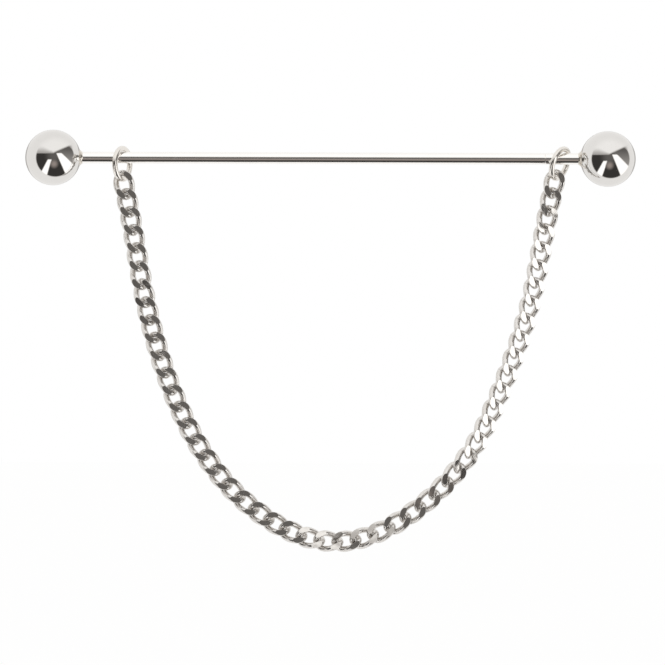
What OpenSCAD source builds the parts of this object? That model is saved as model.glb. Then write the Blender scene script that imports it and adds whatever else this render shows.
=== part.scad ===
// A collar bar: a slim bar with a ball at each end and a curb chain hung below it from two rings.
// The bar lies along X with its middle at the origin, and the chain hangs down towards -Z.
// The right ball unscrews with its stem, so that the bar can go through a collar's eyelets.

/* [Bar] */
// Diameter of the bar and of the screw stem
bar_d = 1.24; // [1.14:0.02:1.6]
// Distance between the centres of the two balls
ball_spacing = 60; // [58:0.5:80]
// Diameter of the end balls
ball_d = 6; // [5:0.1:8]
// How far the bar and the stem run into their balls
socket_depth = 3.4; // [1.5:0.1:4]
// Gap all round in the soldered sockets
solder_gap = 0.02; // [0.01:0.01:0.04]

/* [Screw end] */
// Length of stem that shows between the right ball and the seam
stem_length = 3.8; // [2:0.1:6]
// Outer diameter of the screw
screw_d = 0.8; // [0.7:0.02:0.84]
// Distance from one thread to the next
screw_pitch = 0.2; // [0.16:0.01:0.24]
// Number of threads on the screw
screw_threads = 12; // [6:1:16]
// Depth of each thread
thread_depth = 0.1; // [0.06:0.01:0.12]
// Gap all round between the screw and the tapped hole
thread_gap = 0.03; // [0.02:0.005:0.04]
// How far the tapped hole runs past the screw's tip
hole_past_screw = 0.4; // [0.2:0.1:1]
// Bevel on both edges of the seam
seam_bevel = 0.06; // [0.03:0.01:0.08]
// Gap at the seam with the stem screwed home
seam_gap = 0.02; // [0.01:0.01:0.05]

/* [Rings] */
// Outer diameter of each hanging ring
ring_d = 3.9; // [3.6:0.05:4.6]
// Wire diameter of the rings
ring_wire_d = 0.6; // [0.5:0.02:0.64]
// Distance between the two rings along the bar
ring_spacing = 47.5; // [42:0.1:50]
// How far the middle between the rings lies to the right of the bar's middle
ring_shift = 1.25; // [0:0.05:2]
// Turn of both rings about their own height
ring_turn = 28; // [20:1:36]
// Lean of the left ring towards the middle
left_lean = 0; // [0:1:22]
// Lean of the right ring towards the middle
right_lean = 20; // [0:1:22]
// Gap between a ring and the bar that it hangs on
ring_gap = 0.06; // [0.04:0.01:0.1]

/* [Chain] */
// Number of links on each side of the middle
half_links = 25; // [24:1:27]
// Outer length of a link
link_length = 3.32; // [3.24:0.02:3.5]
// Outer width of a link
link_width = 2.3; // [2.26:0.02:2.5]
// Wire diameter of the links
link_wire_d = 0.64; // [0.54:0.02:0.66]
// Thickness of a link across its two cut faces
link_thickness = 1.16; // [1.04:0.02:1.3]
// Gap between the wires of neighbouring links
link_gap = 0.06; // [0.05:0.01:0.1]
// How full the chain hangs: more makes it flatter in the middle and steeper at its ends
chain_fullness = 1; // [0.9:0.02:1.1]

/* [Hidden] */
$fn = 48;
link_count = 2 * half_links;
// Two digits, so that the names sort along the chain
function link_name(k) = str("link_", k < 10 ? "0" : "", k);

metal = [0.78, 0.77, 0.76];

// Bar and balls
ball_r = ball_d / 2;
bar_r = bar_d / 2;
left_ball_x = -ball_spacing / 2;
right_ball_x = ball_spacing / 2;
bar_start_x = left_ball_x + ball_r - socket_depth;
stem_end_x = right_ball_x - ball_r + socket_depth;
seam_x = right_ball_x - ball_r - stem_length;
end_bevel = 0.1;

// Screw and tapped hole, measured from the seam into the bar
screw_neck = screw_pitch;
screw_length = screw_neck + screw_threads * screw_pitch;
screw_crest_r = screw_d / 2;
screw_root_r = screw_crest_r - thread_depth;

// Rings: the middle line of a ring's wire stays this far from the bar's own line
ring_wire_r = ring_wire_d / 2;
ring_r = ring_d / 2 - ring_wire_r;
ring_clear_r = bar_r + ring_gap + ring_wire_r;
left_ring_x = ring_shift - ring_spacing / 2;
right_ring_x = ring_shift + ring_spacing / 2;

// Height of the ring's wire over the ring's middle, at an angle from its top
function ring_height(angle, lean) = ring_r
    * (cos(angle) * cos(lean) + sin(angle) * sin(ring_turn) * sin(lean));
// How far the ring's middle lies below the bar: the least of what its wire allows where it
// passes over the bar, taken at even steps across the bar
function ring_drop(lean) = min([
    for (share = [-0.8:0.05:0.8])
        let (y = share * ring_clear_r, angle = asin(y / (ring_r * cos(ring_turn))))
            (ring_height(angle, lean) - sqrt(ring_clear_r ^ 2 - y ^ 2)) / cos(lean)
]);
// From the bar's own line to the pivot where the chain bears on the ring
function ring_reach(lean) = ring_drop(lean) + ring_r - ring_wire_r - link_gap / 2;

// Links: half their length and width along the middle of the wire, the tilt of the wire at the
// ends, its slope at the sides, and how much wider the end bends are than the side bends
link_pitch = link_length - 2 * link_wire_d - link_gap;
wire_reach = (link_length - link_wire_d) / 2;
wire_side = (link_width - link_wire_d) / 2;
end_tilt = 52;
side_slope = 40;
bend_ratio = 3;
// Every second bend is this much thinner and runs this far into the bends beside it
joint_step = 0.012;
joint_run = 0.03;

// The chain hangs from the first pivot to the last, in two halves that meet at its lowest point
first_pivot = [
    left_ring_x + ring_reach(left_lean) * sin(left_lean),
    0,
    -ring_reach(left_lean) * cos(left_lean)
];
last_pivot = [
    right_ring_x - ring_reach(right_lean) * sin(right_lean),
    0,
    -ring_reach(right_lean) * cos(right_lean)
];
pivot_span = last_pivot.x - first_pivot.x;
pivot_rise = last_pivot.z - first_pivot.z;

// Slope of the links by their place in their half, from the lowest point, 0, to the ring, 1
left_slopes = [
    [0, 0], [0.06, 14], [0.12, 28], [0.2, 38], [0.3, 51],
    [0.45, 65], [0.6, 73], [0.8, 81], [1, 78]
];
right_slopes = [
    [0, 0], [0.06, 17], [0.12, 28], [0.2, 38], [0.3, 49],
    [0.45, 66], [0.6, 70], [0.8, 80], [1, 78]
];
function sum(list, i = 0) = i < len(list) ? list[i] + sum(list, i + 1) : 0;
function link_slope(n, slopes, steepness) =
    atan(steepness * tan(lookup((n - 0.5) / half_links, slopes)) ^ chain_fullness);
function half_reach(slopes, steepness) = link_pitch
    * sum([for (n = [1:half_links]) cos(link_slope(n, slopes, steepness))]);
function half_drop(slopes, steepness) = link_pitch
    * sum([for (n = [1:half_links]) sin(link_slope(n, slopes, steepness))]);

// The slopes are made a little steeper or flatter until the links fit between the pivots:
// halving finds the steepness at which the right half drops as far as it must, and then the
// one of the left half at which both together reach across
function right_fit(drop, low, high, tries) =
    let (middle = (low + high) / 2)
    tries == 0 ? middle
    : half_drop(right_slopes, middle) < drop ? right_fit(drop, middle, high, tries - 1)
    : right_fit(drop, low, middle, tries - 1);
function right_for(steepness) =
    right_fit(half_drop(left_slopes, steepness) + pivot_rise, 0.01, 20, 40);
function both_reach(steepness) = half_reach(left_slopes, steepness)
    + half_reach(right_slopes, right_for(steepness));
function left_fit(low, high, tries) =
    let (middle = (low + high) / 2)
    tries == 0 ? middle
    : both_reach(middle) > pivot_span ? left_fit(middle, high, tries - 1)
    : left_fit(low, middle, tries - 1);
left_steepness = left_fit(0.2, 5, 36);
right_steepness = right_for(left_steepness);

// Slope of link k, the way it points, and the pivot at its end
function link_angle(k) = k <= half_links
    ? -link_slope(half_links + 1 - k, left_slopes, left_steepness)
    : link_slope(k - half_links, right_slopes, right_steepness);
function link_way(k) = [cos(link_angle(k)), 0, sin(link_angle(k))];
function pivot(k) = k == 0 ? first_pivot : pivot(k - 1) + link_pitch * link_way(k);

// Roll of the links about the chain's own line, by their place along the chain from 0 to 1
roll_route = [
    [0, 0], [0.06, -8], [0.08, -8], [0.14, 10], [0.2, -8], [0.46, -8],
    [0.48, -13], [0.5, -13], [0.52, -7], [0.54, -12], [0.56, -12],
    [0.64, 13], [0.7, 24], [0.88, 25],
    [1, 7]
];

// A body of revolution along X, from points of radius and place along the bar
module turned(points) {
    color(metal)
        rotate([0, 90, 0])
            rotate_extrude()
                polygon(points);
}

// Radius and place of each corner of the thread, from the seam to the screw's tip
function thread_points(gap) = [
    for (n = [0:screw_threads - 1], corner = [[0, 0], [1, 0.4], [1, 0.6], [0, 1]])
        [
            screw_root_r + gap + corner.x * thread_depth,
            seam_x - screw_neck - (n + corner.y) * screw_pitch
        ]
];

module bar() {
    turned(concat(
        [
            [0, bar_start_x],
            [bar_r - end_bevel, bar_start_x],
            [bar_r, bar_start_x + end_bevel],
            [bar_r, seam_x - seam_bevel],
            [bar_r - seam_bevel, seam_x],
            [screw_root_r + thread_gap, seam_x]
        ],
        thread_points(thread_gap),
        [
            [screw_root_r + thread_gap, seam_x - screw_length - hole_past_screw],
            [0, seam_x - screw_length - hole_past_screw]
        ]
    ));
}

module screw_stem() {
    turned(concat(
        [
            [0, stem_end_x],
            [bar_r - end_bevel, stem_end_x],
            [bar_r, stem_end_x - end_bevel],
            [bar_r, seam_x + seam_gap + seam_bevel],
            [bar_r - seam_bevel, seam_x + seam_gap],
            [screw_root_r, seam_x + seam_gap]
        ],
        thread_points(0),
        [[0, seam_x - screw_length]]
    ));
}

// A ball with a socket; side is 1 where the socket opens to the right and -1 where to the left
module ball(x, side) {
    color(metal)
        translate([x, 0, 0])
            rotate([0, side * 90, 0])
                difference() {
                    sphere(r = ball_r);
                    translate([0, 0, ball_r - socket_depth - solder_gap])
                        cylinder(r = bar_r + solder_gap, h = ball_d);
                }
}

// A ring round the bar; side is 1 where the chain hangs off to the right and -1 to the left
module ring(x, side, lean) {
    drop = ring_drop(lean);
    color(metal)
        translate([x + side * drop * sin(lean), 0, -drop * cos(lean)])
            rotate([0, -side * lean, 0])
                rotate([0, 90, -ring_turn])
                    rotate_extrude()
                        translate([ring_r, 0])
                            circle(r = ring_wire_r);
}

// A wire bent in one arc, from a point and the way it leaves there to an end point. A run above
// 0 lengthens it at both ends along the same arc.
module bent_wire(start, way, end, wire_d, run) {
    chord = end - start;
    aside = chord - (chord * way) * way;
    inward = aside / norm(aside);
    bend_r = (chord * chord) / (2 * norm(aside));
    centre = start + bend_r * inward;
    across = cross(-inward, way);
    turn = 2 * atan2(norm(aside), chord * way);
    run_turn = run / bend_r * 180 / PI;
    multmatrix([
        [-inward.x, way.x, across.x, centre.x],
        [-inward.y, way.y, across.y, centre.y],
        [-inward.z, way.z, across.z, centre.z],
        [0, 0, 0, 1]
    ])
        rotate([0, 0, -run_turn])
            rotate_extrude(angle = turn + 2 * run_turn)
                translate([bend_r, 0])
                    circle(d = wire_d);
}

// A quarter of a link's wire, from the middle of its end to the middle of its side: two arcs
// that point the same way where they meet. One of them is the thinner bend.
module link_quarter(thin_side) {
    end_point = [wire_reach, 0, 0];
    end_way = [0, cos(end_tilt), -sin(end_tilt)];
    side_point = [0, wire_side, 0];
    side_way = [-cos(side_slope), 0, sin(side_slope)];
    // The arms are the tangents from both points to the corners between which the arcs meet
    chord = side_point - end_point;
    ways = side_way + bend_ratio * end_way;
    a = ways * ways - (1 + bend_ratio) * (1 + bend_ratio);
    b = -2 * (chord * ways);
    side_arm = (-b - sqrt(b * b - 4 * a * (chord * chord))) / (2 * a);
    end_arm = bend_ratio * side_arm;
    end_corner = end_point + end_arm * end_way;
    side_corner = side_point - side_arm * side_way;
    meet_way = (side_corner - end_corner) / norm(side_corner - end_corner);
    meet_point = end_corner + end_arm * meet_way;
    thin_d = link_wire_d - joint_step;
    bent_wire(end_point, end_way, meet_point,
        thin_side ? link_wire_d : thin_d, thin_side ? 0 : joint_run);
    bent_wire(meet_point, meet_way, side_point,
        thin_side ? thin_d : link_wire_d, thin_side ? joint_run : 0);
}

// A link lies along X with its width along Y. Both faces are cut flat.
module link_body() {
    slab = 2 * link_length;
    difference() {
        union() {
            link_quarter(true);
            rotate([0, 180, 0]) link_quarter(false);
            rotate([0, 0, 180]) link_quarter(true);
            rotate([180, 0, 0]) link_quarter(false);
        }
        for (face = [-1, 1])
            translate([0, 0, face * (link_thickness + slab) / 2])
                cube(slab, center = true);
    }
}

module chain_link(k) {
    color(metal)
        translate((pivot(k - 1) + pivot(k)) / 2)
            rotate([0, -link_angle(k), 0])
                rotate([90 + lookup(k / link_count, roll_route), 0, 0])
                    link_body();
}

bar();
ball(left_ball_x, 1);  // ball_left
screw_stem();
ball(right_ball_x, -1);  // ball_right
ring(left_ring_x, 1, left_lean);  // ring_left
ring(right_ring_x, -1, right_lean);  // ring_right
for (k = [1:link_count])
    chain_link(k);
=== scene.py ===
import bpy
import bmesh
from math import asin, atan, atan2, cos, exp, pi, radians, sin, sqrt, tan
from mathutils import Matrix, Vector


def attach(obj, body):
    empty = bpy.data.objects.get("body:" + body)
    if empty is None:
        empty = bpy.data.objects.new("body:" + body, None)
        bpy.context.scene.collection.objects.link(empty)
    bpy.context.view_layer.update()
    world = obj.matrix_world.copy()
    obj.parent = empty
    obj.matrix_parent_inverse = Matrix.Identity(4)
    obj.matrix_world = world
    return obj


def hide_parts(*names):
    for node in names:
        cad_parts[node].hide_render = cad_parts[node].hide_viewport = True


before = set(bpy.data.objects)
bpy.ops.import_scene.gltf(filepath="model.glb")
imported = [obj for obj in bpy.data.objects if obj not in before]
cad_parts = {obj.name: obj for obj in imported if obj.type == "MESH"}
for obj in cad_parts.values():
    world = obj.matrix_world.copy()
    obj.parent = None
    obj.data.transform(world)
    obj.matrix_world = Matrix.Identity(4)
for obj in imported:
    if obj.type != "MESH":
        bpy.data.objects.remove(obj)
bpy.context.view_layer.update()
mm = 0.001
scene = bpy.context.scene
scene.view_settings.view_transform = "Standard"

camera = {
    "distance": 1200,     # mm from the bar, so far that both balls show the same studio
    "frameWidth": 71.9,   # mm of the object's plane that fill the picture
    "aimX": 0.27,         # mm, the point in the middle of the picture
    "aimZ": -18.84,
    "roll": -0.155,       # degrees: the right ball hangs a little lower
    "sensorWidth": 36,    # mm
    "clipStart": 10,
    "clipEnd": 20000,
}


def makeCamera():
    data = bpy.data.cameras.new("camera")
    data.sensor_width = camera["sensorWidth"]
    data.lens = camera["sensorWidth"] * camera["distance"] / camera["frameWidth"]
    data.clip_start = camera["clipStart"] * mm
    data.clip_end = camera["clipEnd"] * mm
    eye = bpy.data.objects.new("camera", data)
    scene.collection.objects.link(eye)
    eye.location = Vector((camera["aimX"], -camera["distance"], camera["aimZ"])) * mm
    eye.rotation_euler = (radians(90), radians(camera["roll"]), 0)
    scene.camera = eye
    print("camera set")


makeCamera()


def linear(hexColour):
    parts = [int(hexColour[i:i + 2], 16) / 255 for i in (1, 3, 5)]
    return tuple(c / 12.92 if c <= 0.04045 else ((c + 0.055) / 1.055) ** 2.4 for c in parts) + (1,)


def addNode(tree, kind, settings={}, inputs={}):
    node = tree.nodes.new(kind)
    for name, value in settings.items():
        setattr(node, name, value)
    for key, value in inputs.items():
        if isinstance(value, bpy.types.NodeSocket):
            tree.links.new(value, node.inputs[key])
        else:
            node.inputs[key].default_value = value
    return node


# The scale of a pattern whose marks lie this many mm apart
def patternScale(apart):
    return 1 / (apart * mm)


def newMaterial(name):
    material = bpy.data.materials.new(name)
    material.use_nodes = True
    tree = material.node_tree
    tree.nodes.clear()
    place = addNode(tree, "ShaderNodeTexCoord").outputs["Object"]
    return material, tree, place


def finishMetal(tree, base, roughness, normal):
    shader = addNode(tree, "ShaderNodeBsdfPrincipled", {}, {
        "Base Color": base,
        "Metallic": 1.0,
        "Roughness": roughness,
        "Normal": normal,
    })
    addNode(tree, "ShaderNodeOutputMaterial", {}, {"Surface": shader.outputs["BSDF"]})


mirrorFinish = {
    "light": "#E6E5E3",
    "hazed": "#DDDBD9",
    "haze": 2.9412,           # mm from one hazy patch to the next
    "waver": 1.6129,          # mm from one dwell of the buff to the next
    "waverDepth": 0.012,      # mm
    "markLength": 1.1111,     # mm, of a wiping mark
    "markNarrower": 14,       # times narrower than it is long
    "markTurn": (0.5, 0.3, 0.7),
    "markDepth": 0.0006,      # mm
    "smoothest": 0.035,
    "dullest": 0.085,
}


# Rhodium plate on a brass ball, buffed on a wheel to a mirror: clear reflections that waver a
# little where the buff dwelt, with wiping marks and a faint haze. Real wiping marks are too fine
# to show, so they are drawn some 0.08 mm wide.
def mirrorPlate():
    material, tree, place = newMaterial("mirrorRhodiumPlate")
    waver = addNode(tree, "ShaderNodeTexNoise", {}, {
        "Vector": place, "Scale": patternScale(mirrorFinish["waver"]), "Detail": 1.0,
        "Roughness": 0.4})
    narrower = mirrorFinish["markNarrower"]
    wiped = addNode(tree, "ShaderNodeMapping", {}, {
        "Vector": place, "Rotation": mirrorFinish["markTurn"], "Scale": (1, narrower, narrower)})
    wiping = addNode(tree, "ShaderNodeTexNoise", {}, {
        "Vector": wiped.outputs["Vector"], "Scale": patternScale(mirrorFinish["markLength"]),
        "Detail": 3.0})
    haze = addNode(tree, "ShaderNodeTexNoise", {}, {
        "Vector": place, "Scale": patternScale(mirrorFinish["haze"]), "Detail": 4.0,
        "Roughness": 0.6})
    tone = addNode(tree, "ShaderNodeMix", {"data_type": "RGBA"}, {
        "Factor": haze.outputs["Fac"], "A": linear(mirrorFinish["light"]),
        "B": linear(mirrorFinish["hazed"])})
    rough = addNode(tree, "ShaderNodeMapRange", {}, {
        "Value": wiping.outputs["Fac"], "From Min": 0.35, "From Max": 0.75,
        "To Min": mirrorFinish["smoothest"], "To Max": mirrorFinish["dullest"]})
    soft = addNode(tree, "ShaderNodeBump", {}, {
        "Height": waver.outputs["Fac"], "Strength": 0.5,
        "Distance": mirrorFinish["waverDepth"] * mm})
    marks = addNode(tree, "ShaderNodeBump", {}, {
        "Height": wiping.outputs["Fac"], "Strength": 0.3,
        "Distance": mirrorFinish["markDepth"] * mm, "Normal": soft.outputs["Normal"]})
    finishMetal(tree, tone.outputs["Result"], rough.outputs["Result"], marks.outputs["Normal"])
    return material


rodFinish = {
    "light": "#FFFEFC",
    "worn": "#F9F7F4",
    "wear": 3.8462,          # mm from one worn patch to the next
    "line": 0.11111,         # mm from one drawing line to the next
    "breadthToLength": 0.012,
    "lineDepth": 0.0035,     # mm
    "smoothest": 0.07,
    "dullest": 0.15,
}


# Rhodium plate on drawn brass rod: drawing lines run the length of the bar and stretch each
# reflection into long streaks. Real ones are finer, and these are as wide as they need to show.
def drawnPlate():
    material, tree, place = newMaterial("drawnRhodiumRod")
    alongBar = addNode(tree, "ShaderNodeMapping", {}, {
        "Vector": place, "Scale": (rodFinish["breadthToLength"], 1, 1)})
    lines = addNode(tree, "ShaderNodeTexNoise", {}, {
        "Vector": alongBar.outputs["Vector"], "Scale": patternScale(rodFinish["line"]),
        "Detail": 3.0, "Roughness": 0.6})
    wear = addNode(tree, "ShaderNodeTexNoise", {}, {
        "Vector": place, "Scale": patternScale(rodFinish["wear"]), "Detail": 3.0})
    tone = addNode(tree, "ShaderNodeMix", {"data_type": "RGBA"}, {
        "Factor": wear.outputs["Fac"], "A": linear(rodFinish["light"]),
        "B": linear(rodFinish["worn"])})
    rough = addNode(tree, "ShaderNodeMapRange", {}, {
        "Value": lines.outputs["Fac"], "From Min": 0.3, "From Max": 0.7,
        "To Min": rodFinish["smoothest"], "To Max": rodFinish["dullest"]})
    drawn = addNode(tree, "ShaderNodeBump", {}, {
        "Height": lines.outputs["Fac"], "Strength": 0.35, "Distance": rodFinish["lineDepth"] * mm})
    finishMetal(tree, tone.outputs["Result"], rough.outputs["Result"], drawn.outputs["Normal"])
    return material


wireFinish = {
    "dent": 0.38462,        # mm from one dent to the next
    "dentDepth": 0.018,     # mm
    "skin": 0.19231,        # mm from one dull spot of the skin to the next
    "skinDepth": 0.004,
    "patch": 1.1111,        # mm from one warm low spot to the next
}
ringFinish = {"light": "#F0EDE9", "warm": "#E2DDD6", "smoothest": 0.1, "dullest": 0.24}
linkFinish = {"light": "#E9E7E5", "warm": "#D5D1CC", "smoothest": 0.18, "dullest": 0.34}


# Rhodium plate on tumbled brass wire: bright but not flat, with the shallow dents that barrel
# polishing leaves, a dulled skin and a slightly warm tone in the low spots.
def tumbledPlate(name, finish):
    material, tree, place = newMaterial(name)
    dents = addNode(tree, "ShaderNodeTexVoronoi", {"feature": "SMOOTH_F1"}, {
        "Vector": place, "Scale": patternScale(wireFinish["dent"]), "Smoothness": 0.9,
        "Randomness": 1.0})
    skin = addNode(tree, "ShaderNodeTexNoise", {}, {
        "Vector": place, "Scale": patternScale(wireFinish["skin"]), "Detail": 3.0,
        "Roughness": 0.55})
    patches = addNode(tree, "ShaderNodeTexNoise", {}, {
        "Vector": place, "Scale": patternScale(wireFinish["patch"]), "Detail": 2.0})
    tone = addNode(tree, "ShaderNodeMix", {"data_type": "RGBA"}, {
        "Factor": patches.outputs["Fac"], "A": linear(finish["light"]),
        "B": linear(finish["warm"])})
    rough = addNode(tree, "ShaderNodeMapRange", {}, {
        "Value": skin.outputs["Fac"], "From Min": 0.3, "From Max": 0.7,
        "To Min": finish["smoothest"], "To Max": finish["dullest"]})
    hammered = addNode(tree, "ShaderNodeBump", {}, {
        "Height": dents.outputs["Distance"], "Strength": 0.5,
        "Distance": wireFinish["dentDepth"] * mm})
    fine = addNode(tree, "ShaderNodeBump", {}, {
        "Height": skin.outputs["Fac"], "Strength": 0.3, "Distance": wireFinish["skinDepth"] * mm,
        "Normal": hammered.outputs["Normal"]})
    finishMetal(tree, tone.outputs["Result"], rough.outputs["Result"], fine.outputs["Normal"])
    return material


faceFinish = {
    "light": "#EFECE8",
    "dull": "#E4E1DD",
    "line": 0.15115,        # mm from one line of the cutter to the next
    "lineDepth": 0.0012,    # mm
    "wave": 1.4286,         # mm from one high spot of the face to the next
    "waveDepth": 0.06,
    "smoothest": 0.045,
    "dullest": 0.1,
}


# Rhodium plate over a face cut flat with a diamond tool: a small mirror that flashes white or
# goes dark as a whole, ruled with the faint lines of the cutter, drawn as coarse as they can show.
def cutPlate():
    material, tree, place = newMaterial("diamondCutFace")
    diagonalLines = 2 * pi / (10 * sqrt(3))   # a diagonal wave's spacing at a scale of 1
    ruled = addNode(tree, "ShaderNodeTexWave", {"bands_direction": "DIAGONAL"}, {
        "Vector": place, "Scale": diagonalLines * patternScale(faceFinish["line"]),
        "Distortion": 1.5, "Detail": 1.0, "Detail Scale": 2.0})
    uneven = addNode(tree, "ShaderNodeTexNoise", {}, {
        "Vector": place, "Scale": patternScale(faceFinish["wave"]), "Detail": 1.0})
    tone = addNode(tree, "ShaderNodeMix", {"data_type": "RGBA"}, {
        "Factor": uneven.outputs["Fac"], "A": linear(faceFinish["light"]),
        "B": linear(faceFinish["dull"])})
    rough = addNode(tree, "ShaderNodeMapRange", {}, {
        "Value": ruled.outputs["Fac"], "To Min": faceFinish["smoothest"],
        "To Max": faceFinish["dullest"]})
    tilted = addNode(tree, "ShaderNodeBump", {}, {
        "Height": uneven.outputs["Fac"], "Strength": 1.0, "Distance": faceFinish["waveDepth"] * mm})
    cutter = addNode(tree, "ShaderNodeBump", {}, {
        "Height": ruled.outputs["Fac"], "Strength": 0.25, "Distance": faceFinish["lineDepth"] * mm,
        "Normal": tilted.outputs["Normal"]})
    finishMetal(tree, tone.outputs["Result"], rough.outputs["Result"], cutter.outputs["Normal"])
    return material


solderFinish = {
    "light": "#EDE8E0",
    "warm": "#CDC5BA",
    "lump": 0.41667,        # mm from lump to lump
    "lumpDepth": 0.05,      # mm
    "pit": 0.2381,          # mm from pit to pit
    "pitDepth": 0.02,
    "smoothest": 0.14,
    "dullest": 0.34,
}


# Silver solder under plate, left as it flowed: a lumpy bead with small pits.
def solderPlate():
    material, tree, place = newMaterial("flowedSolder")
    flow = addNode(tree, "ShaderNodeTexNoise", {}, {
        "Vector": place, "Scale": patternScale(solderFinish["lump"]), "Detail": 2.0})
    pits = addNode(tree, "ShaderNodeTexVoronoi", {}, {
        "Vector": place, "Scale": patternScale(solderFinish["pit"])})
    tone = addNode(tree, "ShaderNodeMix", {"data_type": "RGBA"}, {
        "Factor": flow.outputs["Fac"], "A": linear(solderFinish["light"]),
        "B": linear(solderFinish["warm"])})
    rough = addNode(tree, "ShaderNodeMapRange", {}, {
        "Value": flow.outputs["Fac"], "To Min": solderFinish["smoothest"],
        "To Max": solderFinish["dullest"]})
    lumps = addNode(tree, "ShaderNodeBump", {}, {
        "Height": flow.outputs["Fac"], "Strength": 0.8, "Distance": solderFinish["lumpDepth"] * mm})
    pitted = addNode(tree, "ShaderNodeBump", {}, {
        "Height": pits.outputs["Distance"], "Strength": 0.4,
        "Distance": solderFinish["pitDepth"] * mm, "Normal": lumps.outputs["Normal"]})
    finishMetal(tree, tone.outputs["Result"], rough.outputs["Result"], pitted.outputs["Normal"])
    return material


ballMetal = mirrorPlate()
barMetal = drawnPlate()
ringMetal = tumbledPlate("tumbledRingWire", ringFinish)
wireMetal = tumbledPlate("tumbledLinkWire", linkFinish)
faceMetal = cutPlate()
solderMetal = solderPlate()
print("materials made")


def keepPiece(name, form, material, body, node):
    mesh = bpy.data.meshes.new(name)
    form.to_mesh(mesh)
    form.free()
    mesh.materials.append(material)
    piece = bpy.data.objects.new(name, mesh)
    scene.collection.objects.link(piece)
    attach(piece, body)
    if node:
        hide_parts(node)


def markSharpEdges(form, limit):
    for face in form.faces:
        face.smooth = True
    for edge in form.edges:
        if len(edge.link_faces) == 2 and edge.calc_face_angle(0) > radians(limit):
            edge.smooth = False


# A solid turned about X from a list of (x, radius) in mm; the list starts and ends on the axis
def turnedForm(outline, segments, sharpEdge):
    form = bmesh.new()
    turn = 2 * pi / segments
    circles = []
    for x, r in outline:
        if r == 0:
            circles.append([form.verts.new((x * mm, 0, 0))])
            continue
        circles.append([form.verts.new((x * mm, r * mm * cos(i * turn), r * mm * sin(i * turn)))
                        for i in range(segments)])
    for one, two in zip(circles, circles[1:]):
        for i in range(segments):
            j = (i + 1) % segments
            corners = [one[i % len(one)], one[j % len(one)], two[j % len(two)], two[i % len(two)]]
            form.faces.new(list(dict.fromkeys(corners)))
    bmesh.ops.recalc_face_normals(form, faces=form.faces)
    markSharpEdges(form, sharpEdge)
    return form


bar = {
    "diameter": 1.24,        # mm, as all sizes here
    "ballSpacing": 60.0,
    "ballDiameter": 6.0,
    "socketDepth": 3.4,
    "solderGap": 0.02,
    "stemLength": 3.8,
    "screwDiameter": 0.8,
    "screwPitch": 0.2,
    "screwThreads": 12,
    "threadDepth": 0.1,
    "threadGap": 0.03,
    "threadShape": [(0, 0), (1, 0.4), (1, 0.6), (0, 1)],   # crest or not, by share of the pitch
    "holePastScrew": 0.4,
    "seamBevel": 0.06,
    "seamGap": 0.02,
    "endBevel": 0.1,
    "segments": 72,
    "sharpEdge": 35,         # degrees: flatter edges are shaded smooth
}
barR = bar["diameter"] / 2
ballR = bar["ballDiameter"] / 2
ballX = bar["ballSpacing"] / 2
seamX = ballX - ballR - bar["stemLength"]
threadRoot = bar["screwDiameter"] / 2 - bar["threadDepth"]


def threadOutline(gap):
    root = threadRoot + gap
    crest = root + bar["threadDepth"]
    outline = []
    for n in range(bar["screwThreads"]):
        start = seamX - bar["screwPitch"] * (n + 1)
        for out, along in bar["threadShape"]:
            outline.append((start - along * bar["screwPitch"], crest if out else root))
    return outline


def makeBar():
    screwEnd = seamX - bar["screwPitch"] * (bar["screwThreads"] + 1)
    start = -ballX + ballR - bar["socketDepth"]
    end = -start
    bevel, seam = bar["endBevel"], bar["seamBevel"]
    holeR = threadRoot + bar["threadGap"]
    holeEnd = screwEnd - bar["holePastScrew"]
    barOutline = [(start, 0), (start, barR - bevel), (start + bevel, barR),
                  (seamX - seam, barR), (seamX, barR - seam), (seamX, holeR)]
    barOutline += threadOutline(bar["threadGap"])
    barOutline += [(holeEnd, holeR), (holeEnd, 0)]
    keepPiece("barRod", turnedForm(barOutline, bar["segments"], bar["sharpEdge"]), barMetal,
              "bar_end", "bar")
    face = seamX + bar["seamGap"]
    stemOutline = [(end, 0), (end, barR - bevel), (end - bevel, barR),
                   (face + seam, barR), (face, barR - seam), (face, threadRoot)]
    stemOutline += threadOutline(0)
    stemOutline += [(screwEnd, 0)]
    keepPiece("screwStem", turnedForm(stemOutline, bar["segments"], bar["sharpEdge"]), barMetal,
              "screw_end", "screw_stem")
    print("bar and stem turned")


ball = {
    "segments": 160,
    "steps": 96,         # from the mouth of the socket to the far pole
    "mouthBevel": 0.05,  # mm
    "sharpEdge": 35,     # degrees
}


def makeBall(name, side, body, node):
    socketR = barR + bar["solderGap"]
    socketEnd = ballR - bar["socketDepth"] - bar["solderGap"]
    mouth = asin((socketR + ball["mouthBevel"]) / ballR)
    outline = [(socketEnd, 0), (socketEnd, socketR)]
    outline.append((sqrt(ballR ** 2 - socketR ** 2) - ball["mouthBevel"], socketR))
    last = ball["steps"] - 1
    for i in range(ball["steps"]):
        angle = mouth + (pi - mouth) * i / last
        outline.append((ballR * cos(angle), ballR * sin(angle) if i < last else 0))
    placed = [(side * (ballX - x), r) for x, r in outline]
    keepPiece(name, turnedForm(placed, ball["segments"], ball["sharpEdge"]), ballMetal,
              body, node)


solder = {
    "climb": 0.26,       # mm along the bar, from the ball's skin
    "spread": 0.3,       # mm over the ball's skin, from the bar
    "sink": 0.04,        # mm into the corner, so that no gap shows
    "lift": 0.004,       # mm that its edges stand off the bar and the ball
    "bulge": (0.06, 0.08),   # mm out of the corner, along the bar and away from it
    "lumps": 0.2,        # share by which the bead's size varies
    "segments": 72,
    "steps": 12,
    "sharpEdge": 60,     # degrees
}


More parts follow.
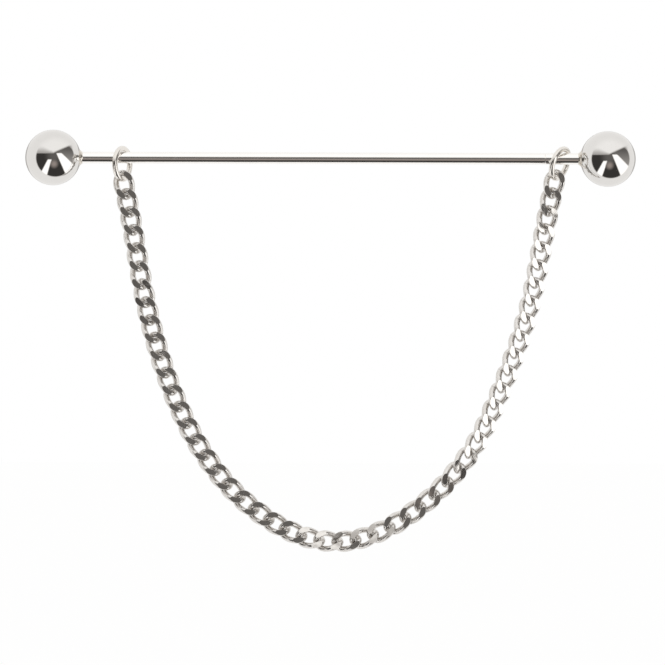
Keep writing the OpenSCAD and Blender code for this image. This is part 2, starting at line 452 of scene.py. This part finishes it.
# Where the bar enters a ball: a ring of solder that climbs both, thicker here and there
def makeSolder(name, side, body):
    form = bmesh.new()
    cornerX = ballX - sqrt(ballR ** 2 - barR ** 2)
    under = barR - 0.5 * solder["sink"]
    outX, outR = solder["bulge"]
    circles = []
    for i in range(solder["segments"]):
        turn = 2 * pi * i / solder["segments"]
        swell = 0.6 * sin(3 * turn + side) + 0.4 * sin(7 * turn + 2 * side)   # 3 large, 7 small
        size = 1 + solder["lumps"] * swell
        high = barR + solder["spread"] * size
        lowX, lowR = cornerX - solder["climb"] * size, barR + solder["lift"]
        topX = ballX - sqrt(ballR ** 2 - high ** 2) - solder["lift"]
        circle = [(cornerX + solder["sink"], under), (lowX, under)]
        for step in range(solder["steps"] + 1):
            t = step / solder["steps"]
            x = (1 - t) ** 2 * lowX + 2 * t * (1 - t) * (cornerX - outX) + t * t * topX
            r = (1 - t) ** 2 * lowR + 2 * t * (1 - t) * (barR + outR) + t * t * high
            circle.append((x, r))
        circle.append((topX + solder["sink"], high))
        circles.append([form.verts.new((side * x * mm, r * mm * cos(turn), r * mm * sin(turn)))
                        for x, r in circle])
    for one, two in zip(circles, circles[1:] + circles[:1]):
        for i in range(len(one)):
            j = (i + 1) % len(one)
            form.faces.new((one[i], one[j], two[j], two[i]))
    bmesh.ops.recalc_face_normals(form, faces=form.faces)
    markSharpEdges(form, solder["sharpEdge"])
    keepPiece(name, form, solderMetal, body, None)


makeBar()
makeBall("ballLeft", -1, "bar_end", "ball_left")
makeBall("ballRight", 1, "screw_end", "ball_right")
makeSolder("solderLeft", -1, "bar_end")
makeSolder("solderRight", 1, "screw_end")
print("balls turned and soldered")


# Sweeps a ring's or a link's round wire along closed points in mm. Where the wire's ends were
# joined, the seam leaves a shallow groove.
def wireLoop(points, size):
    count = len(points)
    sides = size["sides"]
    ways = [(points[(i + 1) % count] - points[i - 1]).normalized() for i in range(count)]
    across = [ways[0].orthogonal().normalized()]
    for i in range(1, count + 1):
        way = ways[i % count]
        across.append((across[-1] - across[-1].dot(way) * way).normalized())
    twist = atan2(ways[0].dot(across[0].cross(across[count])), across[0].dot(across[count]))
    form = bmesh.new()
    circles = []
    for i in range(count):
        steps = abs(i - size["seamAt"])
        apart = min(steps, count - steps) * (points[1] - points[0]).length
        groove = size["seamDepth"] * exp(-(apart / size["seamWidth"]) ** 2)
        r = size["wire"] / 2 * (1 - groove)
        up = across[i]
        side = ways[i].cross(up)
        circle = []
        for j in range(sides):
            turn = 2 * pi * j / sides - twist * i / count
            circle.append(form.verts.new((points[i] + r * (cos(turn) * up + sin(turn) * side)) * mm))
        circles.append(circle)
    for i in range(count):
        one, two = circles[i], circles[(i + 1) % count]
        for j in range(sides):
            k = (j + 1) % sides
            form.faces.new((one[j], one[k], two[k], two[j]))
    bmesh.ops.recalc_face_normals(form, faces=form.faces)
    for face in form.faces:
        face.smooth = True
    return form


ring = {
    "diameter": 3.9,       # mm, outside
    "wire": 0.6,
    "turn": 28,            # degrees, off the bar's direction
    "leftX": -22.5,
    "rightX": 25.0,
    "leftDrop": 0.67,      # mm from the bar's line to the ring's middle
    "rightDrop": 0.555872,
    "leftLean": 0,         # degrees
    "rightLean": 20,
    "points": 120,
    "sides": 32,
    "seamAt": 47,          # the point where the wire was joined
    "seamDepth": 0.07,     # share of the wire's radius
    "seamWidth": 0.05,     # mm
}


def makeRing(name, x, side, lean, drop, node):
    r = (ring["diameter"] - ring["wire"]) / 2
    turn = 2 * pi / ring["points"]
    circle = [Vector((r * cos(i * turn), r * sin(i * turn), 0)) for i in range(ring["points"])]
    form = wireLoop(circle, ring)
    middle = Vector((x + side * drop * sin(radians(lean)), 0, -drop * cos(radians(lean)))) * mm
    place = Matrix.Translation(middle) @ Matrix.Rotation(radians(-side * lean), 4, "Y")
    place = place @ Matrix.Rotation(radians(-ring["turn"]), 4, "Z")
    form.transform(place @ Matrix.Rotation(pi / 2, 4, "Y"))
    keepPiece(name, form, ringMetal, "rings", node)


makeRing("ringLeft", ring["leftX"], 1, ring["leftLean"], ring["leftDrop"], "ring_left")
makeRing("ringRight", ring["rightX"], -1, ring["rightLean"], ring["rightDrop"], "ring_right")
print("rings bent")

link = {
    "length": 3.32,       # mm
    "width": 2.3,
    "wire": 0.64,
    "thickness": 1.16,    # over the two cut faces
    "gap": 0.06,          # play between two links
    "endTilt": 52,        # degrees, of the wire at a link's ends
    "sideSlope": 40,      # degrees, of the wire at a link's sides
    "bendRatio": 3,       # the end bend's arm to the side bend's
    "arcSteps": 14,       # points along a side bend; an end bend has bendRatio times as many
    "sides": 24,
    "seamAt": 40,
    "seamDepth": 0.08,
    "seamWidth": 0.04,
}


# Points on a bend that leaves start in the direction way and ends at end
def bendPoints(start, way, end, steps):
    chord = end - start
    aside = chord - chord.dot(way) * way
    inward = aside.normalized()
    bendR = chord.length_squared / (2 * aside.length)
    middle = start + bendR * inward
    turn = 2 * atan2(aside.length, chord.dot(way))
    return [middle - bendR * cos(turn * i / steps) * inward + bendR * sin(turn * i / steps) * way
            for i in range(steps)]


# The middle of a link's wire: a quarter of two bends, and its three turned copies
def linkPoints():
    end = Vector(((link["length"] - link["wire"]) / 2, 0, 0))
    side = Vector((0, (link["width"] - link["wire"]) / 2, 0))
    tilt, slope, ratio = radians(link["endTilt"]), radians(link["sideSlope"]), link["bendRatio"]
    endWay = Vector((0, cos(tilt), -sin(tilt)))
    sideWay = Vector((-cos(slope), 0, sin(slope)))
    chord = side - end
    ways = sideWay + ratio * endWay
    a = ways.dot(ways) - (1 + ratio) ** 2
    b = -2 * chord.dot(ways)
    sideArm = (-b - sqrt(b * b - 4 * a * chord.dot(chord))) / (2 * a)
    endCorner = end + ratio * sideArm * endWay
    sideCorner = side - sideArm * sideWay
    meetWay = (sideCorner - endCorner).normalized()
    meet = endCorner + ratio * sideArm * meetWay
    quarter = bendPoints(end, endWay, meet, ratio * link["arcSteps"])
    quarter += bendPoints(meet, meetWay, side, link["arcSteps"])
    back = [side] + quarter[:0:-1]
    loop = quarter[:]
    for part, turned in ((back, (-1, 1, -1)), (quarter, (-1, -1, 1)), (back, (1, -1, -1))):
        loop += [p * Vector(turned) for p in part]
    return loop


# One link about its own middle, with the round wire cut flat on both faces
def makeLinkPattern():
    form = wireLoop(linkPoints(), link)
    cutFace = form.faces.layers.int.new("cutFace")
    for side in (-1, 1):
        height = side * link["thickness"] / 2 * mm
        every = form.verts[:] + form.edges[:] + form.faces[:]
        cut = bmesh.ops.bisect_plane(form, geom=every, dist=1e-9, plane_co=(0, 0, height),
                                     plane_no=(0, 0, side), clear_outer=True)
        rim = [e for e in cut["geom_cut"] if isinstance(e, bmesh.types.BMEdge)]
        for face in bmesh.ops.holes_fill(form, edges=rim, sides=0)["faces"]:
            face.smooth = False
            face[cutFace] = 1
        for edge in rim:
            edge.smooth = False
    bmesh.ops.recalc_face_normals(form, faces=form.faces)
    mesh = bpy.data.meshes.new("linkPattern")
    form.to_mesh(mesh)
    form.free()
    return bpy.data.objects.new("linkPattern", mesh)


chain = {
    "halfLinks": 25,
    "firstPivot": (-22.5, -1.99),          # mm, x and z
    "lastPivot": (24.3584, -1.76274),
    # slope in degrees by place in each half, from the lowest point, 0, to the ring, 1
    "leftSlopes": [(0, 0), (0.06, 14), (0.12, 28), (0.2, 38), (0.3, 51),
                   (0.45, 65), (0.6, 73), (0.8, 81), (1, 78)],
    "rightSlopes": [(0, 0), (0.06, 17), (0.12, 28), (0.2, 38), (0.3, 49),
                    (0.45, 66), (0.6, 70), (0.8, 80), (1, 78)],
    # roll about the chain's own line in degrees, by place along the whole chain
    "roll": [(0, 0), (0.06, -8), (0.08, -8), (0.14, 10), (0.2, -8), (0.46, -8),
             (0.48, -13), (0.5, -13), (0.52, -7), (0.54, -12), (0.56, -12),
             (0.64, 13), (0.7, 24), (0.88, 25), (1, 7)],
    "leftSteepness": (0.2, 5),             # range in which the fit is looked for
    "rightSteepness": (0.01, 20),
    "halvings": 44,
}


def alongRoute(route, place):
    for (x0, y0), (x1, y1) in zip(route, route[1:]):
        if x0 <= place <= x1:
            return y0 + (y1 - y0) * (place - x0) / (x1 - x0)


# Halves the range until the value asked for is met; the value rises with the number tried
def settle(limits, value, wanted):
    low, high = limits
    for attempt in range(chain["halvings"]):
        middle = (low + high) / 2
        if value(middle) < wanted:
            low = middle
        else:
            high = middle
    return low


# Middle, slope and roll of every link. Each half is made steeper or flatter until the links
# fit between the two rings.
def hangChain():
    pitch = link["length"] - 2 * link["wire"] - link["gap"]
    half = chain["halfLinks"]
    first, last = Vector(chain["firstPivot"]), Vector(chain["lastPivot"])

    def slopes(route, steepness):
        return [atan(steepness * tan(radians(alongRoute(chain[route], (n - 0.5) / half))))
                for n in range(1, half + 1)]

    def drop(route, steepness):
        return pitch * sum(sin(slope) for slope in slopes(route, steepness))

    def rightFor(steepness):
        wanted = drop("leftSlopes", steepness) + last.y - first.y
        return settle(chain["rightSteepness"], lambda right: drop("rightSlopes", right), wanted)

    def reach(steepness):
        both = slopes("leftSlopes", steepness) + slopes("rightSlopes", rightFor(steepness))
        return pitch * sum(cos(slope) for slope in both)

    steepness = settle(chain["leftSteepness"], lambda left: -reach(left), first.x - last.x)
    left = slopes("leftSlopes", steepness)
    right = slopes("rightSlopes", rightFor(steepness))
    places = []
    pivot = first
    for k, slope in enumerate([-s for s in reversed(left)] + right, start=1):
        nextPivot = pivot + pitch * Vector((cos(slope), sin(slope)))
        roll = alongRoute(chain["roll"], k / (2 * half))
        places.append(((pivot + nextPivot) / 2, slope, roll))
        pivot = nextPivot
    print("chain ends", round((pivot - last).length, 6), "mm from its ring")
    return places


# Puts the pattern on one of the chain's points, leaning and rolled as that point says
def linkTree():
    tree = bpy.data.node_groups.new("linkOnChain", "GeometryNodeTree")
    for name, kind in (("Geometry", "Geometry"), ("Link number", "Int"),
                       ("Link pattern", "Object"), ("Wire metal", "Material"),
                       ("Face metal", "Material")):
        tree.interface.new_socket(name, in_out="INPUT", socket_type="NodeSocket" + kind)
    tree.interface.new_socket("Geometry", in_out="OUTPUT", socket_type="NodeSocketGeometry")
    given = addNode(tree, "NodeGroupInput").outputs
    index = addNode(tree, "GeometryNodeInputIndex").outputs["Index"]
    chosen = addNode(tree, "FunctionNodeCompare", {"data_type": "INT", "operation": "EQUAL"}, {
        2: index, 3: given["Link number"]})
    slope = addNode(tree, "GeometryNodeInputNamedAttribute", {"data_type": "FLOAT"}, {
        "Name": "slope"})
    roll = addNode(tree, "GeometryNodeInputNamedAttribute", {"data_type": "FLOAT"}, {
        "Name": "roll"})
    lean = addNode(tree, "ShaderNodeMath", {"operation": "MULTIPLY"}, {
        0: slope.outputs["Attribute"], 1: -1.0})
    upright = addNode(tree, "ShaderNodeMath", {"operation": "ADD"}, {
        0: roll.outputs["Attribute"], 1: pi / 2})
    turns = addNode(tree, "ShaderNodeCombineXYZ", {}, {
        "X": upright.outputs[0], "Y": lean.outputs[0]})
    rotation = addNode(tree, "FunctionNodeEulerToRotation", {}, {"Euler": turns.outputs[0]})
    source = addNode(tree, "GeometryNodeObjectInfo", {"transform_space": "ORIGINAL"}, {
        "Object": given["Link pattern"]})
    placed = addNode(tree, "GeometryNodeInstanceOnPoints", {}, {
        "Points": given["Geometry"], "Selection": chosen.outputs["Result"],
        "Instance": source.outputs["Geometry"], "Rotation": rotation.outputs["Rotation"]})
    real = addNode(tree, "GeometryNodeRealizeInstances", {}, {
        "Geometry": placed.outputs["Instances"]})
    wired = addNode(tree, "GeometryNodeSetMaterial", {}, {
        "Geometry": real.outputs["Geometry"], "Material": given["Wire metal"]})
    cut = addNode(tree, "GeometryNodeInputNamedAttribute", {"data_type": "INT"}, {
        "Name": "cutFace"})
    isCut = addNode(tree, "FunctionNodeCompare", {"data_type": "INT", "operation": "EQUAL"}, {
        2: cut.outputs["Attribute"], 3: 1})
    faced = addNode(tree, "GeometryNodeSetMaterial", {}, {
        "Geometry": wired.outputs["Geometry"], "Selection": isCut.outputs["Result"],
        "Material": given["Face metal"]})
    addNode(tree, "NodeGroupOutput", {}, {"Geometry": faced.outputs["Geometry"]})
    return tree


def makeChain():
    places = hangChain()
    mesh = bpy.data.meshes.new("chainRoute")
    mesh.from_pydata([(p.x * mm, 0, p.y * mm) for p, slope, roll in places], [], [])
    for name, values in (("slope", [p[1] for p in places]),
                         ("roll", [radians(p[2]) for p in places])):
        mesh.attributes.new(name, "FLOAT", "POINT").data.foreach_set("value", values)
    pattern = makeLinkPattern()
    tree = linkTree()
    sockets = {s.name: s.identifier for s in tree.interface.items_tree if s.in_out == "INPUT"}
    for k in range(1, len(places) + 1):
        route = bpy.data.objects.new("chainRoute", mesh)
        scene.collection.objects.link(route)
        nodes = route.modifiers.new("links", "NODES")
        nodes.node_group = tree
        nodes[sockets["Link number"]] = k - 1
        nodes[sockets["Link pattern"]] = pattern
        nodes[sockets["Wire metal"]] = wireMetal
        nodes[sockets["Face metal"]] = faceMetal
        ready = route.evaluated_get(bpy.context.evaluated_depsgraph_get())
        linkMesh = bpy.data.meshes.new_from_object(ready)
        bpy.data.objects.remove(route)
        linkMesh.name = "chainLink%02d" % k
        piece = bpy.data.objects.new("chainLink%02d" % k, linkMesh)
        scene.collection.objects.link(piece)
        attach(piece, "link_%02d" % k)
        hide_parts("link_%02d" % k)
    bpy.data.objects.remove(pattern)
    print("chain hung:", len(places), "links")


makeChain()

floor = {
    "height": -47.0,     # mm, under the hanging chain
    "size": 2400,        # mm
    "light": "#FAFAF9",
    "fleck": "#F6F6F4",
    "grain": 1.1111,     # mm from fleck to fleck; a real paper's are finer and wouldn't show
    "ownLight": 0.95,    # share of the sheet that shows as plain white to the camera
}


# Matte background paper: a faint grain, and it keeps the shadow
def makeFloor():
    material, tree, place = newMaterial("backgroundPaper")
    grain = addNode(tree, "ShaderNodeTexNoise", {}, {
        "Vector": place, "Scale": patternScale(floor["grain"]), "Detail": 2.0})
    tone = addNode(tree, "ShaderNodeMix", {"data_type": "RGBA"}, {
        "Factor": grain.outputs["Fac"], "A": linear(floor["light"]), "B": linear(floor["fleck"])})
    paper = addNode(tree, "ShaderNodeBsdfDiffuse", {}, {"Color": tone.outputs["Result"]})
    white = addNode(tree, "ShaderNodeEmission", {}, {"Color": (1, 1, 1, 1), "Strength": 1.0})
    ray = addNode(tree, "ShaderNodeLightPath")
    share = addNode(tree, "ShaderNodeMath", {"operation": "MULTIPLY"}, {
        0: ray.outputs["Is Camera Ray"], 1: floor["ownLight"]})
    both = addNode(tree, "ShaderNodeMixShader", {}, {
        0: share.outputs[0], 1: paper.outputs["BSDF"], 2: white.outputs["Emission"]})
    addNode(tree, "ShaderNodeOutputMaterial", {}, {"Surface": both.outputs["Shader"]})
    form = bmesh.new()
    bmesh.ops.create_grid(form, x_segments=4, y_segments=4, size=floor["size"] / 2 * mm)
    form.transform(Matrix.Translation((0, 0, floor["height"] * mm)))
    mesh = bpy.data.meshes.new("paperFloor")
    form.to_mesh(mesh)
    form.free()
    mesh.materials.append(material)
    sheet = bpy.data.objects.new("paperFloor", mesh)
    scene.collection.objects.link(sheet)
    sheet.visible_glossy = False   # the metal mirrors the studio, not this sheet


# The studio is laid out on a round map: where each direction would show on a mirror ball that
# is seen from the front, in radii from its middle. Pairs are where a fade starts and ends.
studio = {
    "blur": 0.024,                       # half the width of a crisp edge
    "canopy": 1.08,
    "canopyFoot": 0.5,                   # its light at the hem
    "hemRise": 0.47,                     # the hem climbs to the right
    "hemHeight": 0.135,
    "hemLowest": 0.145,
    "footX": (-0.35, 0.05),              # left to right, the fade over the hem narrows
    "footWidth": (0.3, 0.07),
    "dark": 0.046,                       # the room behind the camera
    "darkMiddle": 0.14,
    "darkCentre": (0.05, 0, 0.05),
    "darkReach": (0.05, 0.4),
    "greyWay": (0.79, 0, 0.61),          # on this side the room is grey
    "greyFrom": (0.26, 0.3),
    "greyHeights": (0.3, -0.1),
    "greys": (0.14, 0.34),
    "panel": 1.45,
    "mainPanel": [(0.14, 0.15), (0.47, -0.62), (0.82, -0.33), (0.32, 0.15)],
    "sidePanel": [(-0.04, -0.08), (-0.17, -0.08), (-0.46, -0.6), (-0.22, -0.64)],
    "paper": 0.98,                       # all round, outside the opening
    "opening": (0.085, 0, -0.01),
    "openingR": 0.685,
    "rimHeights": (0.3, 0.5),            # the opening's rim grows softer upwards
    "softRim": 0.14,
    "tableEdge": 0.5,
    "tableFar": (0.76, 0.9),             # how straight behind the piece it lies
    "tableLevel": (0.26, 0.16),          # and how far from level
    "patch": (0.36, 0.31, 0.285, 1),
    "patchCentre": (0.05, 0, -0.24),
    "patchReach": (0.2, 0.02),
    "warmDark": (1.0, 0.94, 0.89, 1),    # the tint of what is dark and of what is lit
    "warmLight": (1.0, 0.99, 0.975, 1),
    "litFrom": 0.9,
}


# A lit panel with straight edges: 1 inside the corners, which run anticlockwise, 0 outside
def panelMask(tree, place, corners):
    mask = 1.0
    for (x0, z0), (x1, z1) in zip(corners, corners[1:] + corners[:1]):
        length = sqrt((x1 - x0) ** 2 + (z1 - z0) ** 2)
        inward = ((z0 - z1) / length, 0, (x1 - x0) / length)
        offset = inward[0] * x0 + inward[2] * z0
        reach = addNode(tree, "ShaderNodeVectorMath", {"operation": "DOT_PRODUCT"}, {
            0: place, 1: inward})
        edge = addNode(tree, "ShaderNodeMapRange", {"interpolation_type": "SMOOTHSTEP"}, {
            "Value": reach.outputs["Value"], "From Min": offset - studio["blur"],
            "From Max": offset + studio["blur"]})
        joined = addNode(tree, "ShaderNodeMath", {"operation": "MULTIPLY"}, {
            0: mask, 1: edge.outputs["Result"]})
        mask = joined.outputs[0]
    return mask


def makeStudio():
    world = bpy.data.worlds.new("studio")
    scene.world = world
    world.use_nodes = True
    tree = world.node_tree
    tree.nodes.clear()
    way = addNode(tree, "ShaderNodeTexCoord").outputs["Generated"]
    half = addNode(tree, "ShaderNodeVectorMath", {"operation": "SUBTRACT"}, {
        0: way, 1: (0, 1, 0)})
    place = addNode(tree, "ShaderNodeVectorMath", {"operation": "NORMALIZE"}, {
        0: half.outputs["Vector"]})
    flat = addNode(tree, "ShaderNodeVectorMath", {"operation": "MULTIPLY"}, {
        0: place.outputs["Vector"], 1: (1, 0, 1)}).outputs["Vector"]
    parts = addNode(tree, "ShaderNodeSeparateXYZ", {}, {"Vector": flat})
    x, z = parts.outputs["X"], parts.outputs["Z"]

    # the canopy overhead ends in a line that rises to the right
    rising = addNode(tree, "ShaderNodeMath", {"operation": "MULTIPLY_ADD"}, {
        0: x, 1: studio["hemRise"], 2: studio["hemHeight"]})
    hem = addNode(tree, "ShaderNodeMath", {"operation": "MAXIMUM"}, {
        0: rising.outputs[0], 1: studio["hemLowest"]})
    above = addNode(tree, "ShaderNodeMath", {"operation": "SUBTRACT"}, {
        0: z, 1: hem.outputs[0]})
    footWidth = addNode(tree, "ShaderNodeMapRange", {}, {
        "Value": x, "From Min": studio["footX"][0], "From Max": studio["footX"][1],
        "To Min": studio["footWidth"][0], "To Max": studio["footWidth"][1]})
    canopy = addNode(tree, "ShaderNodeMapRange", {"interpolation_type": "SMOOTHSTEP"}, {
        "Value": above.outputs[0], "From Max": footWidth.outputs["Result"],
        "To Min": studio["canopyFoot"], "To Max": studio["canopy"]})
    under = addNode(tree, "ShaderNodeMapRange", {"interpolation_type": "SMOOTHSTEP"}, {
        "Value": above.outputs[0], "From Min": studio["blur"], "From Max": -studio["blur"]})

    # the dark room behind the camera, paler towards its middle and grey at the right
    fromMiddle = addNode(tree, "ShaderNodeVectorMath", {"operation": "DISTANCE"}, {
        0: flat, 1: studio["darkCentre"]})
    dark = addNode(tree, "ShaderNodeMapRange", {"interpolation_type": "SMOOTHSTEP"}, {
        "Value": fromMiddle.outputs["Value"], "From Min": studio["darkReach"][0],
        "From Max": studio["darkReach"][1], "To Min": studio["darkMiddle"],
        "To Max": studio["dark"]})
    rightSide = addNode(tree, "ShaderNodeVectorMath", {"operation": "DOT_PRODUCT"}, {
        0: flat, 1: studio["greyWay"]})
    right = addNode(tree, "ShaderNodeMapRange", {"interpolation_type": "SMOOTHSTEP"}, {
        "Value": rightSide.outputs["Value"], "From Min": studio["greyFrom"][0],
        "From Max": studio["greyFrom"][1]})
    greyer = addNode(tree, "ShaderNodeMapRange", {}, {
        "Value": z, "From Min": studio["greyHeights"][0], "From Max": studio["greyHeights"][1],
        "To Min": studio["greys"][0], "To Max": studio["greys"][1]})
    room = addNode(tree, "ShaderNodeMix", {"data_type": "FLOAT"}, {
        0: right.outputs["Result"], 2: dark.outputs["Result"], 3: greyer.outputs["Result"]})

    seen = addNode(tree, "ShaderNodeMix", {"data_type": "FLOAT"}, {
        0: under.outputs["Result"], 2: canopy.outputs["Result"], 3: room.outputs[0]})
    value = seen.outputs[0]
    for corners in (studio["mainPanel"], studio["sidePanel"]):
        lit = addNode(tree, "ShaderNodeMix", {"data_type": "FLOAT"}, {
            0: panelMask(tree, flat, corners), 2: value, 3: studio["panel"]})
        value = lit.outputs[0]

    # pale paper all round, outside the opening towards the camera
    fromOpening = addNode(tree, "ShaderNodeVectorMath", {"operation": "DISTANCE"}, {
        0: flat, 1: studio["opening"]})
    rimBlur = addNode(tree, "ShaderNodeMapRange", {}, {
        "Value": z, "From Min": studio["rimHeights"][0], "From Max": studio["rimHeights"][1],
        "To Min": studio["blur"], "To Max": studio["softRim"]})
    inner = addNode(tree, "ShaderNodeMath", {"operation": "SUBTRACT"}, {
        0: studio["openingR"], 1: rimBlur.outputs["Result"]})
    outer = addNode(tree, "ShaderNodeMath", {"operation": "ADD"}, {
        0: studio["openingR"], 1: rimBlur.outputs["Result"]})
    outside = addNode(tree, "ShaderNodeMapRange", {"interpolation_type": "SMOOTHSTEP"}, {
        "Value": fromOpening.outputs["Value"], "From Min": inner.outputs[0],
        "From Max": outer.outputs[0]})
    front = addNode(tree, "ShaderNodeMix", {"data_type": "FLOAT"}, {
        0: outside.outputs["Result"], 2: value, 3: studio["paper"]})

    # a grey table edge behind the piece: the balls show it whole from the back, and from the
    # front as a thin line round their rims
    behind = addNode(tree, "ShaderNodeSeparateXYZ", {}, {"Vector": way})
    far = addNode(tree, "ShaderNodeMapRange", {"interpolation_type": "SMOOTHSTEP"}, {
        "Value": behind.outputs["Y"], "From Min": studio["tableFar"][0],
        "From Max": studio["tableFar"][1]})
    fromLevel = addNode(tree, "ShaderNodeMath", {"operation": "ABSOLUTE"}, {
        0: behind.outputs["Z"]})
    level = addNode(tree, "ShaderNodeMapRange", {"interpolation_type": "SMOOTHSTEP"}, {
        "Value": fromLevel.outputs[0], "From Min": studio["tableLevel"][0],
        "From Max": studio["tableLevel"][1]})
    edge = addNode(tree, "ShaderNodeMath", {"operation": "MULTIPLY"}, {
        0: far.outputs["Result"], 1: level.outputs["Result"]})
    whole = addNode(tree, "ShaderNodeMix", {"data_type": "FLOAT"}, {
        0: edge.outputs[0], 2: front.outputs[0], 3: studio["tableEdge"]})

    # a warm patch near the middle, and a faint warmth in everything dark
    fromPatch = addNode(tree, "ShaderNodeVectorMath", {"operation": "DISTANCE"}, {
        0: flat, 1: studio["patchCentre"]})
    patch = addNode(tree, "ShaderNodeMapRange", {"interpolation_type": "SMOOTHSTEP"}, {
        "Value": fromPatch.outputs["Value"], "From Min": studio["patchReach"][0],
        "From Max": studio["patchReach"][1]})
    warm = addNode(tree, "ShaderNodeMapRange", {}, {
        "Value": whole.outputs[0], "From Max": studio["litFrom"]})
    tint = addNode(tree, "ShaderNodeMix", {"data_type": "RGBA"}, {
        "Factor": warm.outputs["Result"], "A": studio["warmDark"], "B": studio["warmLight"]})
    colour = addNode(tree, "ShaderNodeVectorMath", {"operation": "SCALE"}, {
        0: tint.outputs["Result"], "Scale": whole.outputs[0]})
    patched = addNode(tree, "ShaderNodeMix", {"data_type": "RGBA"}, {
        "Factor": patch.outputs["Result"], "A": colour.outputs["Vector"], "B": studio["patch"]})
    light = addNode(tree, "ShaderNodeBackground", {}, {"Color": patched.outputs["Result"]})
    white = addNode(tree, "ShaderNodeBackground", {}, {"Color": (1, 1, 1, 1), "Strength": 1.0})
    ray = addNode(tree, "ShaderNodeLightPath")
    both = addNode(tree, "ShaderNodeMixShader", {}, {
        0: ray.outputs["Is Camera Ray"], 1: light.outputs["Background"],
        2: white.outputs["Background"]})
    addNode(tree, "ShaderNodeOutputWorld", {}, {"Surface": both.outputs["Shader"]})


makeFloor()
makeStudio()
print("floor and studio ready")
